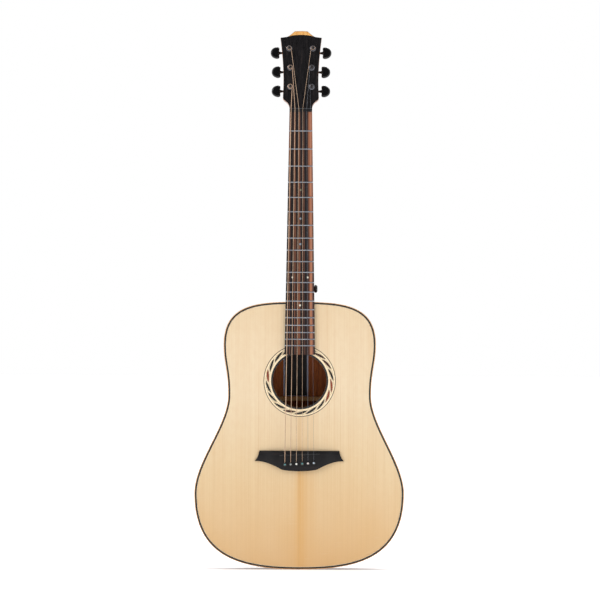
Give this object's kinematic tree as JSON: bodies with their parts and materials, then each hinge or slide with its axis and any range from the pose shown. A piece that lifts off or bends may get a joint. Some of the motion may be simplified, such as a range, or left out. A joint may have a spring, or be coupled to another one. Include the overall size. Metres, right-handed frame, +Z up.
{
  "type": "acoustic guitar",
  "caption": "Steel-string acoustic guitar with a dreadnought body, pinned bridge, crowned fingerboard and worm-geared tuning machines.",
  "frame": {"origin": "lowest point of the body's tail, in the middle of the guitar's width and depth", "axes": "+Z up along the neck, -Y out of the soundboard, +X to the treble side"},
  "size_m": [0.398, 0.133, 1.0229],
  "materials": {
    "spruce_top": "satin lacquer",
    "spruce_brace": "raw",
    "mahogany_body": "gloss lacquer",
    "mahogany_neck": "satin lacquer",
    "block_wood": "raw",
    "lining_wood": "raw",
    "binding_wood": "satin lacquer",
    "purfling_black": "gloss",
    "rosette_inlay": "gloss lacquer",
    "label_paper": "matte",
    "ebony": "satin",
    "fingerboard_wood": "oiled",
    "headstock_black": "gloss lacquer",
    "headstock_wood": "satin lacquer",
    "nut_black": "polished",
    "fret_wire": "polished",
    "dot_pearl": "gloss",
    "pin_plastic": "gloss",
    "button_plastic": "gloss",
    "screw_steel": "bright",
    "rod_steel": "plain",
    "tuner_black": "satin",
    "bushing_chrome": "polished",
    "post_metal": "polished",
    "strap_black": "gloss",
    "string_bronze": "wound",
    "string_steel": "plain"
  },
  "bodies": {
    "guitar": {"soundboard": "spruce_top", "back_plate": "mahogany_body", "side_bass": "mahogany_body", "side_treble": "mahogany_body", "neck_block": "block_wood", "tail_block": "block_wood", "top_linings": "lining_wood", "back_linings": "lining_wood", "top_binding": "binding_wood", "top_purfling": "purfling_black", "back_binding": "binding_wood", "x_braces": "spruce_brace", "transverse_brace": "spruce_brace", "tone_bars": "spruce_brace", "finger_braces": "spruce_brace", "bridge_plate": "lining_wood", "back_braces": "spruce_brace", "rosette": "rosette_inlay", "label": "label_paper", "bridge": "ebony", "saddle": "nut_black", "strap_button": "strap_black", "strap_button_screw": "screw_steel", "neck": "mahogany_neck", "heel_cap": "ebony", "headstock": "headstock_wood", "headstock_veneer": "headstock_black", "fingerboard": "fingerboard_wood", "frets": "fret_wire", "position_dots": "dot_pearl", "nut": "nut_black", "truss_rod": "rod_steel", "tuner_housings": "tuner_black", "tuner_bushings": "bushing_chrome", "tuner_screws": "screw_steel", "string_1": "string_steel", "string_2": "string_steel", "string_3": "string_bronze", "string_4": "string_bronze", "string_5": "string_bronze", "string_6": "string_bronze"},
    "truss_nut": {"truss_rod_nut": "rod_steel"},
    "key_1": {"tuner_key_1": "button_plastic"},
    "post_1": {"tuner_post_1": "post_metal"},
    "pin_1": {"bridge_pin_1": "pin_plastic"},
    "key_2": {"tuner_key_2": "button_plastic"},
    "post_2": {"tuner_post_2": "post_metal"},
    "pin_2": {"bridge_pin_2": "pin_plastic"},
    "key_3": {"tuner_key_3": "button_plastic"},
    "post_3": {"tuner_post_3": "post_metal"},
    "pin_3": {"bridge_pin_3": "pin_plastic"},
    "key_4": {"tuner_key_4": "button_plastic"},
    "post_4": {"tuner_post_4": "post_metal"},
    "pin_4": {"bridge_pin_4": "pin_plastic"},
    "key_5": {"tuner_key_5": "button_plastic"},
    "post_5": {"tuner_post_5": "post_metal"},
    "pin_5": {"bridge_pin_5": "pin_plastic"},
    "key_6": {"tuner_key_6": "button_plastic"},
    "post_6": {"tuner_post_6": "post_metal"},
    "pin_6": {"bridge_pin_6": "pin_plastic"}
  },
  "joints": [
    {"name": "truss_nut_turn", "type": "hinge", "parent": "guitar", "child": "truss_nut", "pos_m": [0, -0.04548, 0.448], "axis": [0, 0, 1], "range_deg": [-180, 180]},
    {"name": "key_turn_1", "type": "hinge", "parent": "guitar", "child": "key_1", "pos_m": [0.0203, -0.02809, 0.90809], "axis": [1, 0, 0], "continuous": true},
    {"name": "post_turn_1", "type": "hinge", "parent": "guitar", "child": "post_1", "pos_m": [0.0203, -0.04764, 0.91629], "axis": [0, 0.9903, -0.1392], "continuous": true},
    {"name": "key_turn_2", "type": "hinge", "parent": "guitar", "child": "key_2", "pos_m": [0.0203, -0.02296, 0.94463], "axis": [1, 0, 0], "continuous": true},
    {"name": "post_turn_2", "type": "hinge", "parent": "guitar", "child": "post_2", "pos_m": [0.0203, -0.04251, 0.95283], "axis": [0, 0.9903, -0.1392], "continuous": true},
    {"name": "key_turn_3", "type": "hinge", "parent": "guitar", "child": "key_3", "pos_m": [0.0225, -0.01782, 0.98117], "axis": [1, 0, 0], "continuous": true},
    {"name": "post_turn_3", "type": "hinge", "parent": "guitar", "child": "post_3", "pos_m": [0.0225, -0.03737, 0.98937], "axis": [0, 0.9903, -0.1392], "continuous": true},
    {"name": "key_turn_4", "type": "hinge", "parent": "guitar", "child": "key_4", "pos_m": [-0.0225, -0.01782, 0.98117], "axis": [-1, 0, 0], "continuous": true},
    {"name": "post_turn_4", "type": "hinge", "parent": "guitar", "child": "post_4", "pos_m": [-0.0225, -0.03737, 0.98937], "axis": [0, 0.9903, -0.1392], "continuous": true},
    {"name": "key_turn_5", "type": "hinge", "parent": "guitar", "child": "key_5", "pos_m": [-0.0203, -0.02296, 0.94463], "axis": [-1, 0, 0], "continuous": true},
    {"name": "post_turn_5", "type": "hinge", "parent": "guitar", "child": "post_5", "pos_m": [-0.0203, -0.04251, 0.95283], "axis": [0, 0.9903, -0.1392], "continuous": true},
    {"name": "key_turn_6", "type": "hinge", "parent": "guitar", "child": "key_6", "pos_m": [-0.0203, -0.02809, 0.90809], "axis": [-1, 0, 0], "continuous": true},
    {"name": "post_turn_6", "type": "hinge", "parent": "guitar", "child": "post_6", "pos_m": [-0.0203, -0.04764, 0.91629], "axis": [0, 0.9903, -0.1392], "continuous": true},
    {"name": "pin_pull_1", "type": "slide", "parent": "guitar", "child": "pin_1", "axis": [0, -1, 0], "range_m": [0, 0.03]},
    {"name": "pin_pull_2", "type": "slide", "parent": "guitar", "child": "pin_2", "axis": [0, -1, 0], "range_m": [0, 0.03]},
    {"name": "pin_pull_3", "type": "slide", "parent": "guitar", "child": "pin_3", "axis": [0, -1, 0], "range_m": [0, 0.03]},
    {"name": "pin_pull_4", "type": "slide", "parent": "guitar", "child": "pin_4", "axis": [0, -1, 0], "range_m": [0, 0.03]},
    {"name": "pin_pull_5", "type": "slide", "parent": "guitar", "child": "pin_5", "axis": [0, -1, 0], "range_m": [0, 0.03]},
    {"name": "pin_pull_6", "type": "slide", "parent": "guitar", "child": "pin_6", "axis": [0, -1, 0], "range_m": [0, 0.03]}
  ],
  "couplings": [
    {"joint": "post_turn_1", "follows": "key_turn_1", "ratio": 0.071429},
    {"joint": "post_turn_2", "follows": "key_turn_2", "ratio": 0.071429},
    {"joint": "post_turn_3", "follows": "key_turn_3", "ratio": 0.071429},
    {"joint": "post_turn_4", "follows": "key_turn_4", "ratio": 0.071429},
    {"joint": "post_turn_5", "follows": "key_turn_5", "ratio": 0.071429},
    {"joint": "post_turn_6", "follows": "key_turn_6", "ratio": 0.071429}
  ]
}
